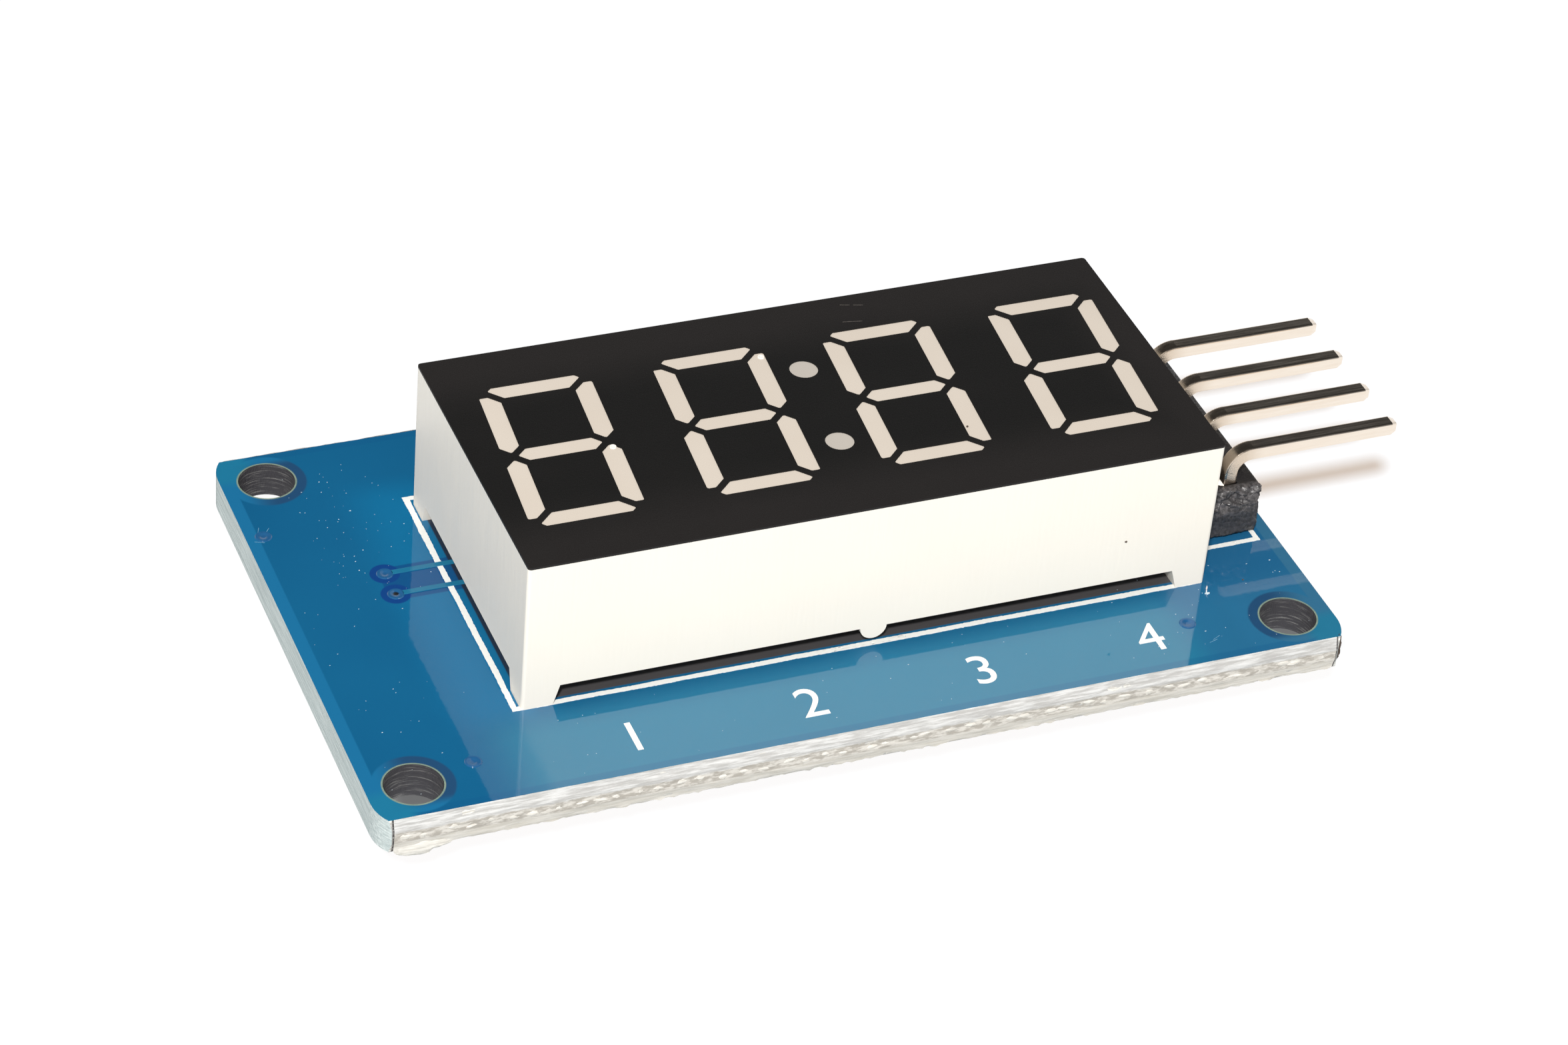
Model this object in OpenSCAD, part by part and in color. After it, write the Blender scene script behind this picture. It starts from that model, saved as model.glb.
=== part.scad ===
// Four-digit seven-segment display module: a clock-style LED display soldered to a small driver board.
// Origin: centre of the four mounting holes, on the underside of the board. +X runs along the board
// to the header pins, +Y away from the reader of the digits, +Z up through the display's face.

/* [Board] */
// Length of the circuit board along X
board_l = 42; // [35:0.5:60]
// Width of the circuit board along Y, over its snapped long edges
board_w = 24.2; // [20:0.1:40]
// Thickness of the circuit board
board_t = 1.6; // [0.8:0.1:2.4]
// Radius of the routed arcs at the board's corners
board_corner_r = 1.95; // [0.8:0.05:3]
// How much of each arc the snapped long edge cuts away
corner_trim = 0.65; // [0:0.05:1]
// Depth of the scored groove that the long edges were snapped along, from each side
score_d = 0.5; // [0.2:0.05:0.6]
// How far the scored slopes draw the long edges in at the board's surfaces
score_inset = 0.13; // [0.05:0.01:0.2]
// Diameter of the four mounting holes
mount_hole_d = 2.4; // [1.8:0.1:2.8]
// Distance from a mounting hole's centre to the board's short edge
hole_inset_x = 1.95; // [1.75:0.05:3]
// Distance from a mounting hole's centre to the board's long edge
hole_inset_y = 1.94; // [1.75:0.01:3]

/* [Display housing] */
// Length of the display along X
display_l = 30.2; // [25:0.1:36]
// Width of the display along Y
display_w = 14.2; // [11.6:0.1:17]
// Height of the display from the board to its face
display_h = 7.15; // [6.6:0.05:9]
// Gap between the display and the header's plastic strip
header_gap = 1.03; // [0.4:0.01:2]
// Radius of the housing's upright edges
housing_edge_r = 0.15; // [0.05:0.05:0.5]
// Thickness of the housing's side walls
wall_t = 1.1; // [0.6:0.1:1.4]
// Height of the gap that the corner feet leave under the walls
foot_h = 0.95; // [0.7:0.05:1.2]
// Width of a corner foot where it meets the wall
foot_w = 1.6; // [1.2:0.05:2.4]
// How much narrower a foot is at the board
foot_draft = 0.28; // [0:0.02:0.5]
// Radius of the half-round tab under the front wall
tab_r = 0.58; // [0.3:0.02:0.8]
// Thickness of the black face layer
face_t = 0.1; // [0.05:0.01:0.3]
// Depth of the light cavities behind the face
cavity_d = 4; // [3:0.1:4.2]
// Size of a cavity's floor as a share of its window
cavity_taper = 0.72; // [0.5:0.02:1]

/* [Digits] */
// Black margin between a digit and the display's long edges
digit_margin = 2.42; // [1.6:0.02:3]
// Black space between neighbouring digits, measured upright
digit_space = 2.67; // [2.2:0.01:3.2]
// Lean of the digits to the right, in degrees
digit_slant = 4.75; // [0:0.25:8]
// Stroke of the level segments
stroke_level = 0.8; // [0.5:0.02:1.2]
// Stroke of the upright segments
stroke_upright = 0.84; // [0.5:0.02:1.2]
// Gap between neighbouring segments, measured across the mitre
segment_gap = 0.31; // [0.15:0.01:0.5]
// Depth of the blunt tips on the top and bottom segments
tip_clip = 0.2; // [0.15:0.01:0.3]
// Distance from the digit's top to the flat ends of the upright segments
upright_clip = 0.57; // [0.45:0.01:0.7]
// Radius of the segments' corners
segment_round = 0.08; // [0.02:0.01:0.1]
// Diameter of the two colon dots
dot_d = 1.2; // [0.8:0.05:1.6]
// Distance between the colon dots along the lean
dot_pitch = 5.08; // [3:0.02:7]
// How far the resin sits below the black face
resin_recess = 0.03; // [0:0.01:0.04]

/* [Display inside] */
// Thickness of the display's inner board
substrate_t = 1; // [0.6:0.1:1.2]
// Thickness of the resin poured over the inner board's back
potting_t = 0.8; // [0.3:0.05:0.9]
// Side of a square light-emitting die
die_side = 0.28; // [0.15:0.01:0.35]
// Height of a die
die_h = 0.2; // [0.1:0.01:0.4]
// Diameter of the display's round pins
display_pin_d = 0.5; // [0.4:0.02:0.6]
// Pitch of the display's pins
display_pin_pitch = 2.54; // [2:0.02:3]
// Distance from a row of display pins to the display's long edge
pin_row_inset = 2.02; // [1.6:0.02:3]
// Length of the display pins below the board
display_pin_tail = 2.8; // [2.6:0.1:4]
// Clearance round a pin in the piece that it passes through
pin_fit = 0.03; // [0.01:0.01:0.06]
// Clearance of the inner board in the housing
substrate_fit = 0.1; // [0.02:0.02:0.2]

/* [Header] */
// Distance from the header's pin row to the board's short edge
header_inset = 2.1; // [1.6:0.05:2.4]
// Pitch of the header's pins
header_pitch = 2.54; // [2:0.02:2.7]
// Width of the header's plastic strip
header_w = 2.54; // [1.8:0.02:2.9]
// Height of the header's plastic strip
header_h = 2.54; // [1.5:0.02:3.5]
// How far the snapped front end falls short of a full pitch
header_break = 0.42; // [0:0.02:0.5]
// Side of the square header pins
header_pin_side = 0.64; // [0.5:0.02:0.66]
// Straight rise of the pins out of the plastic before they bend
header_pin_rise = 0.49; // [0.1:0.01:2]
// Radius of the bend along the pin's axis
header_bend_r = 0.9; // [0.6:0.05:2]
// Reach of the pins along X from the pin row to their ends
header_reach = 7.78; // [5:0.02:12]
// Length of the header pins below the board
header_pin_tail = 1.5; // [1.3:0.1:2.4]
// Length of the taper at a header pin's end
pin_taper_l = 0.28; // [0.1:0.02:0.6]
// Depth of that taper on each side
pin_taper_d = 0.1; // [0.04:0.01:0.2]

/* [Underside parts] */
// Gap between the driver chip's solder and the solder of the nearest display pins
chip_gap = 1.2; // [0.6:0.05:2]
// Length of the driver chip's body
chip_l = 12.8; // [12.4:0.1:14]
// Width of the driver chip's body
chip_w = 7.5; // [7:0.1:8]
// Height of the driver chip's body
chip_h = 2.3; // [1.6:0.05:2.4]
// Span over the driver chip's leads
chip_span = 10.3; // [10:0.05:10.8]
// Pitch of the driver chip's leads
lead_pitch = 1.27; // [1:0.01:1.27]
// Width of a lead
lead_w = 0.42; // [0.3:0.02:0.5]
// Thickness of a lead
lead_t = 0.25; // [0.15:0.01:0.3]
// Gap between the chip's body and the board
chip_standoff = 0.12; // [0.05:0.01:0.2]
// Length of a chip resistor or capacitor
passive_l = 1.6; // [1:0.1:2]
// Width of a chip resistor or capacitor
passive_w = 0.8; // [0.5:0.05:1.2]
// Height of a capacitor
capacitor_h = 0.8; // [0.5:0.05:1]
// Height of a resistor
resistor_h = 0.45; // [0.3:0.05:0.6]
// Length of the metal end on a resistor or capacitor
terminal_l = 0.3; // [0.2:0.05:0.4]

/* [Hidden] */
$fn = 48;

digits = 4;
segment_names = "abcdefg";
pins_per_row = 6;
header_pins = 4;
leads_per_side = 10;
capacitors = 4;
resistors = 2;
through = 1;

// Levels of the display's layers, from the board's top up
face_top = board_t + display_h;
housing_top = face_top - face_t;
reflector_floor = housing_top - cavity_d;
resin_top = face_top - resin_recess;
guide_h = resin_top - reflector_floor;
substrate_floor = reflector_floor - substrate_t;
potting_floor = substrate_floor - potting_t;
wall_floor = board_t + foot_h;
recess_l = display_l - 2 * wall_t;
recess_w = display_w - 2 * wall_t;

// Segment layout: centre lines of the strokes, and the shift of a mitre's edge from its own line
digit_pitch = display_l / digits;
half_h = display_w / 2 - digit_margin;
half_w = (digit_pitch - digit_space) / 2;
upright_x = half_w - stroke_upright / 2;
level_y = half_h - stroke_level / 2;
mitre_shift = segment_gap / sqrt(2);

// Places of the repeated pieces, and the room round a pin in its hole in the board
display_hole_room = 0.15;
header_hole_room = 0.05;
hole_x = board_l / 2 - hole_inset_x;
hole_y = board_w / 2 - hole_inset_y;
header_x = board_l / 2 - header_inset;
display_x = header_x - header_w / 2 - header_gap - display_l / 2;
header_bend_z = board_t + header_h + header_pin_rise;
header_axis_z = header_bend_z + header_bend_r;
display_pin_hole_d = display_pin_d + 2 * display_hole_room;
header_pin_hole_d = header_pin_side * sqrt(2) + 2 * header_hole_room;
row_first_x = display_x - (pins_per_row - 1) / 2 * display_pin_pitch;
row_y = display_w / 2 - pin_row_inset;
header_first_y = -(header_pins - 1) / 2 * header_pitch;

// Solder joints
solder_h = 0.9;
display_solder_d = 1.6;
header_solder_d = 1.8;
solder_neck = 0.1;
solder_rim = 0.12;
solder_steps = 6;
toe_solder_l = 0.28;
toe_solder_h = 0.22;

// Driver chip's place and details
chip_x = row_first_x - display_solder_d / 2 - chip_gap - toe_solder_l - chip_span / 2;
chip_draft = 0.14;
chip_mid = chip_standoff + chip_h / 2;
chip_mark_d = 1;
chip_mark_depth = 0.1;
lead_root = 0.4;
lead_foot_l = 0.75;
lead_shoulder = 0.3;
lead_bend_r = 0.1;

// Chip capacitors and then chip resistors: [x from the header row, y, turned]
passive_places = [
    [-6.3, 4.6, false], [-6.3, -4.6, false], [-3.7, 4.6, true], [-3.7, -4.6, true],
    [-4.4, 1.3, false], [-4.4, -1.3, false]
];
passive_skin = 0.03;

// Geometry helpers
function unit(v) = v / norm(v);
function mean(points) = [for (k = [0, 1]) [for (p = points) p[k]] * [for (p = points) 1] / len(points)];
function flip_x(points) = [for (p = points) [-p.x, p.y]];
function flip_y(points) = [for (p = points) [p.x, -p.y]];
function wrap(angle) = angle > 180 ? angle - 360 : angle < -180 ? angle + 360 : angle;

// Points of the arc that rounds the corner p between the neighbours a and b
function corner_arc(p, a, b, r, steps) =
    let (
        u = unit(a - p),
        v = unit(b - p),
        half_angle = acos(u * v) / 2,
        centre = p + unit(u + v) * r / sin(half_angle),
        start = p + u * r / tan(half_angle) - centre,
        end = p + v * r / tan(half_angle) - centre,
        first = atan2(start.y, start.x),
        sweep = wrap(atan2(end.y, end.x) - first)
    )
    [for (k = [0:steps]) centre + r * [cos(first + sweep * k / steps), sin(first + sweep * k / steps)]];

function rounded(points, r, steps = 2) =
    let (count = len(points))
    [for (i = [0:count - 1])
        each corner_arc(points[i], points[(i + count - 1) % count], points[(i + 1) % count], r, steps)];

// Outline of one upright digit's segments, before the lean: top, upper right and middle
function level_outline() =
    let (
        tip_y = half_h - tip_clip,
        tip_x = upright_x - level_y - mitre_shift + tip_y,
        inner_x = upright_x - mitre_shift - stroke_level / 2
    )
    [[-tip_x + tip_clip, half_h], [tip_x - tip_clip, half_h], [tip_x, tip_y],
     [inner_x, half_h - stroke_level], [-inner_x, half_h - stroke_level], [-tip_x, tip_y]];

function upright_outline() =
    let (
        flat_y = half_h - upright_clip,
        mitre = level_y - upright_x - mitre_shift,
        inner_x = half_w - stroke_upright,
        shoulder_y = mitre_shift + stroke_upright / 2
    )
    [[flat_y - mitre, flat_y], [half_w, flat_y], [half_w, shoulder_y], [upright_x, mitre_shift],
     [inner_x, shoulder_y], [inner_x, inner_x + mitre]];

function middle_outline() =
    let (tip_x = upright_x - mitre_shift, corner_x = tip_x - stroke_level / 2, y = stroke_level / 2)
    [[-corner_x, y], [corner_x, y], [tip_x, 0], [corner_x, -y], [-corner_x, -y], [-tip_x, 0]];

function segment_outline(name) =
    name == "a" ? level_outline() :
    name == "b" ? upright_outline() :
    name == "c" ? flip_y(upright_outline()) :
    name == "d" ? flip_y(level_outline()) :
    name == "e" ? flip_x(flip_y(upright_outline())) :
    name == "f" ? flip_x(upright_outline()) :
    middle_outline();

// Places on the display's face: a leaning digit's segments and the colon dots
function lean(points) = [for (p = points) [p.x + p.y * tan(digit_slant), p.y]];
function digit_centre(digit) = [display_x + (digit - (digits + 1) / 2) * digit_pitch, 0];
function segment_points(digit, name) =
    [for (p = rounded(lean(segment_outline(name)), segment_round)) p + digit_centre(digit)];
function dot_centre(side) =
    [display_x + side * dot_pitch / 2 * sin(digit_slant), side * dot_pitch / 2 * cos(digit_slant)];

// Modelling helpers
module under_board() {
    mirror([0, 0, 1]) children();
}

module block(size, floor_z) {
    translate([-size.x / 2, -size.y / 2, floor_z]) cube(size);
}

module rounded_plate(length, width, r) {
    square([length - 2 * r, width], center = true);
    square([length, width - 2 * r], center = true);
    for (x = [-1, 1], y = [-1, 1]) translate([x * (length / 2 - r), y * (width / 2 - r)]) circle(r);
}

// A bar whose section in X and Z is the given outline, centred on Y
module bar_along_y(outline, length) {
    rotate([90, 0, 0]) translate([0, 0, -length / 2]) linear_extrude(length) polygon(outline);
}

module bar_along_x(outline, length) {
    rotate([0, 0, 90]) bar_along_y(outline, length);
}

module each_segment() {
    for (digit = [1:digits], name = segment_names) {
        $points = segment_points(digit, name);
        children();
    }
}

module each_dot() {
    for (side = [-1, 1]) {
        $centre = dot_centre(side);
        children();
    }
}

module at_mount_holes() {
    for (x = [-hole_x, hole_x], y = [-hole_y, hole_y]) translate([x, y, 0]) children();
}

module at_row_pins(side) {
    for (i = [0:pins_per_row - 1])
        translate([row_first_x + i * display_pin_pitch, side * row_y, 0]) children();
}

module at_display_pins() {
    for (side = [-1, 1]) at_row_pins(side) children();
}

module at_header_pins() {
    for (i = [0:header_pins - 1]) translate([header_x, header_first_y + i * header_pitch, 0]) children();
}

// Circuit board
module circuit_board() color([0.1, 0.42, 0.6]) difference() {
    intersection() {
        linear_extrude(board_t) rounded_plate(board_l, board_w + 2 * corner_trim, board_corner_r);
        bar_along_x(snapped_section(), board_l + 2 * through);
    }
    at_mount_holes() board_hole(mount_hole_d);
    at_display_pins() board_hole(display_pin_hole_d);
    at_header_pins() board_hole(header_pin_hole_d);
}

// Section of the board across its snapped long edges
function snapped_section() =
    let (edge = board_w / 2, face = edge - score_inset, upper = board_t - score_d)
    [[-face, 0], [face, 0], [edge, score_d], [edge, upper], [face, board_t], [-face, board_t],
     [-edge, upper], [-edge, score_d]];

module board_hole(d) {
    translate([0, 0, -through]) cylinder(d = d, h = board_t + 2 * through);
}

// Full outline of the display between two levels
module display_layer(floor_z, top_z) {
    translate([0, 0, floor_z]) linear_extrude(top_z - floor_z)
        rounded_plate(display_l, display_w, housing_edge_r);
}

// Display housing: a moulded reflector with a tapered light cavity behind every window
module display_housing() color([0.95, 0.94, 0.9]) difference() {
    translate([display_x, 0, 0]) union() {
        difference() {
            display_layer(board_t, housing_top);
            block([recess_l, recess_w, reflector_floor - board_t + through], board_t - through);
            bar_along_y(foot_gap(display_l), display_w + 2 * through);
            bar_along_x(foot_gap(display_w), display_l + 2 * through);
        }
        translate([0, wall_t - display_w / 2, wall_floor]) rotate([90, 0, 0]) cylinder(r = tab_r, h = wall_t);
    }
    each_segment() light_guide($points, guide_h + through);
    each_dot() dot_guide($centre, guide_h + through);
}

// Opening between two feet of a wall, wider at the board
function foot_gap(wall_l) =
    let (top_x = wall_l / 2 - foot_w, floor_x = top_x + foot_draft, run = foot_draft / foot_h * through)
    [[-floor_x - run, board_t - through], [floor_x + run, board_t - through],
     [top_x, wall_floor], [-top_x, wall_floor]];

// Resin shape of one segment, narrowing from its window towards the inner board
function taper_at(depth) = 1 - (1 - cavity_taper) * depth / guide_h;

module light_guide(points, depth) {
    centre = mean(points);
    translate([centre.x, centre.y, resin_top]) mirror([0, 0, 1])
        linear_extrude(depth, scale = taper_at(depth)) polygon([for (p = points) p - centre]);
}

module dot_guide(centre, depth) {
    translate([centre.x, centre.y, resin_top - depth])
        cylinder(d1 = dot_d * taper_at(depth), d2 = dot_d, h = depth);
}

// Black face layer with a window over every cavity
module display_face() color([0.13, 0.12, 0.12]) difference() {
    translate([display_x, 0, 0]) display_layer(housing_top, face_top);
    each_segment() translate([0, 0, housing_top - through])
        linear_extrude(face_t + 2 * through) polygon($points);
    each_dot() translate([$centre.x, $centre.y, housing_top - through])
        cylinder(d = dot_d, h = face_t + 2 * through);
}

// Resin light guide of one segment or dot, hollowed for its die
module segment(digit, name) color([0.92, 0.88, 0.82]) difference() {
    light_guide(segment_points(digit, name), guide_h);
    die_pocket(mean(segment_points(digit, name)));
}

module colon_dot(side) color([0.8, 0.79, 0.78]) difference() {
    dot_guide(dot_centre(side), guide_h);
    die_pocket(dot_centre(side));
}

module die(centre) {
    translate([centre.x, centre.y, 0]) block([die_side, die_side, die_h], reflector_floor);
}

module die_pocket(centre) {
    translate([centre.x, centre.y, 0])
        block([die_side, die_side, die_h + through], reflector_floor - through);
}

module led_dies() color([0.75, 0.65, 0.3]) {
    each_segment() die(mean($points));
    each_dot() die($centre);
}

// Inner board that carries the dies, and the resin poured over its back
module display_substrate() color([0.7, 0.72, 0.55]) difference() {
    translate([display_x, 0, 0])
        block([recess_l - 2 * substrate_fit, recess_w - 2 * substrate_fit, substrate_t], substrate_floor);
    at_display_pins() translate([0, 0, substrate_floor - through])
        cylinder(d = display_pin_d + 2 * pin_fit, h = substrate_t + 2 * through);
}

module back_potting() color([0.85, 0.82, 0.75]) difference() {
    translate([display_x, 0, 0]) block([recess_l, recess_w, potting_t], potting_floor);
    at_display_pins() translate([0, 0, potting_floor - through])
        cylinder(d = display_pin_d + 2 * pin_fit, h = potting_t + 2 * through);
}

// Display pins, from the inner board through the circuit board
module display_pins(side) color([0.78, 0.78, 0.76])
    at_row_pins(side) translate([0, 0, -display_pin_tail])
        cylinder(d = display_pin_d, h = reflector_floor + display_pin_tail);

module display_solder() color([0.72, 0.73, 0.74]) under_board() at_display_pins() difference() {
    solder_cone(display_solder_d, display_pin_d);
    translate([0, 0, -through]) cylinder(d = display_pin_d, h = solder_h + 2 * through);
}

// Concave solder fillet round a pin, standing on the board
module solder_cone(pad_d, pin_d) {
    top_r = pin_d / 2 + solder_neck;
    reach = pad_d / 2 - top_r;
    rotate_extrude() difference() {
        square([pad_d / 2, solder_h]);
        translate([pad_d / 2, solder_h]) fillet_cut(reach, solder_h);
    }
}

// Round hollow between the pin's neck and the thin rim of the solder
module fillet_cut(reach, height) {
    drop = height - solder_rim;
    arc = [for (k = [0:solder_steps]) 90 * k / solder_steps];
    polygon(concat([for (angle = arc) [-reach * cos(angle), -drop * sin(angle)]],
                   [[through, -drop], [through, through], [-reach, through]]));
}

// Header: a snapped length of plastic strip and its bent square pins
module header_body() color([0.09, 0.09, 0.1]) difference() {
    back_y = header_pins * header_pitch / 2;
    front_y = -back_y + header_break;
    translate([header_x - header_w / 2, front_y, board_t]) cube([header_w, back_y - front_y, header_h]);
    at_header_pins() block([pin_slot(), pin_slot(), header_h + 2 * through], board_t - through);
}

function pin_slot() = header_pin_side + 2 * pin_fit;

module header_pin(index) color([0.8, 0.76, 0.7])
    translate([header_x, header_first_y + (index - 1) * header_pitch, 0]) {
        tapered_pin(header_bend_z + header_pin_tail, header_bend_z);
        translate([header_bend_r, 0, header_bend_z]) rotate([90, 0, 0]) rotate([0, 0, 90])
            rotate_extrude(angle = 90) translate([header_bend_r, 0])
                square(header_pin_side, center = true);
        translate([0, 0, header_axis_z]) rotate([0, -90, 0])
            tapered_pin(header_reach - header_bend_r, -header_bend_r);
    }

// Square pin that ends at the given level, with its tapered tip pointing down
module tapered_pin(length, end_z) {
    half = header_pin_side / 2;
    tip = half - pin_taper_d;
    outline = [[-half, end_z], [half, end_z], [half, end_z - length + pin_taper_l], [tip, end_z - length],
               [-tip, end_z - length], [-half, end_z - length + pin_taper_l]];
    intersection() {
        bar_along_y(outline, header_pin_side);
        bar_along_x(outline, header_pin_side);
    }
}

module header_solder() color([0.72, 0.73, 0.74]) under_board() at_header_pins() difference() {
    solder_cone(header_solder_d, header_pin_side * sqrt(2));
    block([header_pin_side, header_pin_side, solder_h + 2 * through], -through);
}

// Driver chip on the underside
module driver_chip() color([0.12, 0.12, 0.13]) under_board() translate([chip_x, 0, 0]) difference() {
    intersection() {
        bar_along_y(chip_section(chip_w), chip_l + 2 * through);
        bar_along_x(chip_section(chip_l), chip_w + 2 * through);
    }
    at_leads() translate([chip_w / 2 - lead_root, -lead_w / 2, chip_mid - lead_t / 2])
        cube([lead_root + through, lead_w, lead_t]);
    translate([chip_mark_d - chip_w / 2, chip_l / 2 - chip_mark_d, chip_standoff + chip_h - chip_mark_depth])
        cylinder(d = chip_mark_d, h = chip_mark_depth + through);
}

// Moulded section that is widest at the parting line
function chip_section(width) =
    let (half = width / 2, flat = half - chip_draft, top = chip_standoff + chip_h)
    [[-flat, chip_standoff], [flat, chip_standoff], [half, chip_mid],
     [flat, top], [-flat, top], [-half, chip_mid]];

module at_leads() {
    for (turn = [0, 180], i = [0:leads_per_side - 1])
        rotate([0, 0, turn]) translate([0, (i - (leads_per_side - 1) / 2) * lead_pitch, 0]) children();
}

// Gull-wing lead, from inside the body down to its foot on the board
function lead_outline() =
    let (
        root_x = chip_w / 2 - lead_root,
        shoulder_x = chip_w / 2 + lead_shoulder,
        toe_x = chip_span / 2,
        heel_x = toe_x - lead_foot_l,
        low = chip_mid - lead_t / 2,
        high = chip_mid + lead_t / 2
    )
    [[root_x, low], [root_x, high], [shoulder_x, high], [heel_x + lead_t, lead_t], [toe_x, lead_t],
     [toe_x, 0], [heel_x, 0], [shoulder_x - lead_t, low]];

module chip_leads() color([0.76, 0.76, 0.75]) under_board() translate([chip_x, 0, 0])
    at_leads() bar_along_y(rounded(lead_outline(), lead_bend_r, 3), lead_w);

module chip_solder() color([0.72, 0.73, 0.74]) under_board() translate([chip_x, 0, 0])
    at_leads() translate([chip_span / 2, 0, 0]) toe_fillet(lead_w);

// Small wedge of solder at the end of a lead or terminal
module toe_fillet(width) {
    bar_along_y([[0, 0], [toe_solder_l, 0], [0, toe_solder_h]], width);
}

// Chip capacitors and resistors, and the solder at their ends
module at_passive(index) {
    place = passive_places[index];
    under_board() translate([header_x + place[0], place[1], 0]) rotate([0, 0, place[2] ? 90 : 0]) children();
}

module passive(height) {
    block([passive_l - 2 * passive_skin, passive_w - 2 * passive_skin, height - passive_skin], 0);
    for (side = [-1, 1]) translate([side * (passive_l - terminal_l) / 2, 0, 0])
        block([terminal_l, passive_w, height], 0);
}

module capacitor(number) color([0.66, 0.55, 0.42]) at_passive(number - 1) passive(capacitor_h);

module resistor(number) color([0.15, 0.15, 0.16]) at_passive(capacitors + number - 1) passive(resistor_h);

module passive_solder() color([0.72, 0.73, 0.74])
    for (i = [0:len(passive_places) - 1], turn = [0, 180])
        at_passive(i) rotate([0, 0, turn]) translate([passive_l / 2, 0, 0]) toe_fillet(passive_w);

circuit_board();
display_housing();
display_face();
for (digit = [1:digits], name = segment_names)
    segment(digit, name);
colon_dot(1);  // colon_dot_upper
colon_dot(-1);  // colon_dot_lower
display_substrate();
led_dies();
back_potting();
display_pins(-1);  // display_pins_front
display_pins(1);  // display_pins_back
display_solder();
header_body();
for (index = [1:header_pins])
    header_pin(index);
header_solder();
driver_chip();
chip_leads();
chip_solder();
for (number = [1:capacitors])
    capacitor(number);
for (number = [1:resistors])
    resistor(number);
passive_solder();
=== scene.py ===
# %% [markdown]
# # Dressing a seven-segment display module
# The CAD model already gives every solid its true size and place: the board, the white display housing, the resin
# in its windows, the pins and the small parts underneath. This lesson gives those solids their finishes and adds
# what is too fine for CAD: printed ink, copper under the coating, broken edges, solder lands, dust and scratches.

# %% Load the CAD model
import math
import random

import bmesh
import bpy
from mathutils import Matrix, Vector


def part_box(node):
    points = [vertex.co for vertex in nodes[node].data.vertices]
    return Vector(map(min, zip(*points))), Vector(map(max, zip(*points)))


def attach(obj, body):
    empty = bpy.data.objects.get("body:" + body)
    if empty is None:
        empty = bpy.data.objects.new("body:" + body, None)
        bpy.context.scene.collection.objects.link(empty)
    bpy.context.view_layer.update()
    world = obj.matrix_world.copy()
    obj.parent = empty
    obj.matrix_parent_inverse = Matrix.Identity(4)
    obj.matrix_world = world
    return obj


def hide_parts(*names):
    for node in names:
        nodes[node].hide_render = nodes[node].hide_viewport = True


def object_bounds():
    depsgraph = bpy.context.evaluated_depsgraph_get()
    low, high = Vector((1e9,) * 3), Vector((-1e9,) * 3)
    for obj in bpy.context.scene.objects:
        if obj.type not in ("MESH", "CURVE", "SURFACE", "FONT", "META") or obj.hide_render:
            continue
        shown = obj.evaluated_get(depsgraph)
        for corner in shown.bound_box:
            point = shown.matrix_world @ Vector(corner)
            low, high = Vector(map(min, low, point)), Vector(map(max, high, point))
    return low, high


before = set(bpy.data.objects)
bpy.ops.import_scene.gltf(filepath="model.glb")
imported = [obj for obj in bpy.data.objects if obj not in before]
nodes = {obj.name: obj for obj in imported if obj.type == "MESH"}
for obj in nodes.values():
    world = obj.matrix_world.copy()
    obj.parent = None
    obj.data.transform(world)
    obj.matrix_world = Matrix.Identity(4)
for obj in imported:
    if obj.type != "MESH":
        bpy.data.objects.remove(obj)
cad_low, cad_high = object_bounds()
bpy.ops.object.select_all(action="DESELECT")
MM = 0.001
print("CAD nodes:", len(nodes), "box in mm:", [round(v / MM, 2) for v in (*cad_low, *cad_high)])

# %% [markdown]
# ## Camera
# The photograph looks down at the module from the left front with a long lens, so parallel edges stay almost
# parallel. The camera stands at the place that lines up the board's edges and holes with the picture. A small roll
# of the camera is part of its turn.

# %% Camera
camera_place = (-62.55, -136.86, 116.98)
camera_turn = (52.732, -4.355, -21.366)
camera_lens, sensor_width = 103.97, 36
bpy.ops.object.camera_add(location=[v * MM for v in camera_place], rotation=[math.radians(v) for v in camera_turn])
camera = bpy.context.object
camera.data.lens, camera.data.sensor_width = camera_lens, sensor_width
camera.data.clip_start, camera.data.clip_end = 0.01, 20
bpy.context.scene.camera = camera
bpy.context.scene.view_settings.view_transform = "Standard"
print("camera", round(camera.location.length / MM), "mm from the origin")

# %% [markdown]
# ## Node helpers
# A finish is a small network of shader nodes. A few helpers keep the networks readable: they add a node and wire its
# inputs, do arithmetic, ease a value between two places, and blend two colours. Colours are written as they look on
# a screen, from 0 to 255, and are turned into the linear values that the shader wants. Further helpers start a
# finish, give it grain and relief, and make the plain kind that one grain is enough for.

# %% Node helpers
def tint(red, green, blue):
    def linear(v):
        v /= 255
        return v / 12.92 if v <= 0.04045 else ((v + 0.055) / 1.055) ** 2.4
    return (linear(red), linear(green), linear(blue), 1.0)


def add(tree, kind, wires=None, **settings):
    """Add a shader node, set its settings, and wire or set its inputs."""
    made = tree.nodes.new("ShaderNode" + kind)
    for key, value in settings.items():
        setattr(made, key, value)
    for key, value in (wires or {}).items():
        if isinstance(value, bpy.types.NodeSocket):
            tree.links.new(value, made.inputs[key])
        else:
            made.inputs[key].default_value = value
    return made


def calc(tree, operation, a, b=0.0, c=0.0):
    return add(tree, "Math", {0: a, 1: b, 2: c}, operation=operation).outputs[0]


def ramp(tree, value, low, high, to_low=0.0, to_high=1.0):
    """Ease a value from to_low at low up to to_high at high."""
    made = add(tree, "MapRange", {"Value": value, "From Min": low, "From Max": high, "To Min": to_low,
                                  "To Max": to_high}, interpolation_type="SMOOTHSTEP")
    return made.outputs[0]


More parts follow.
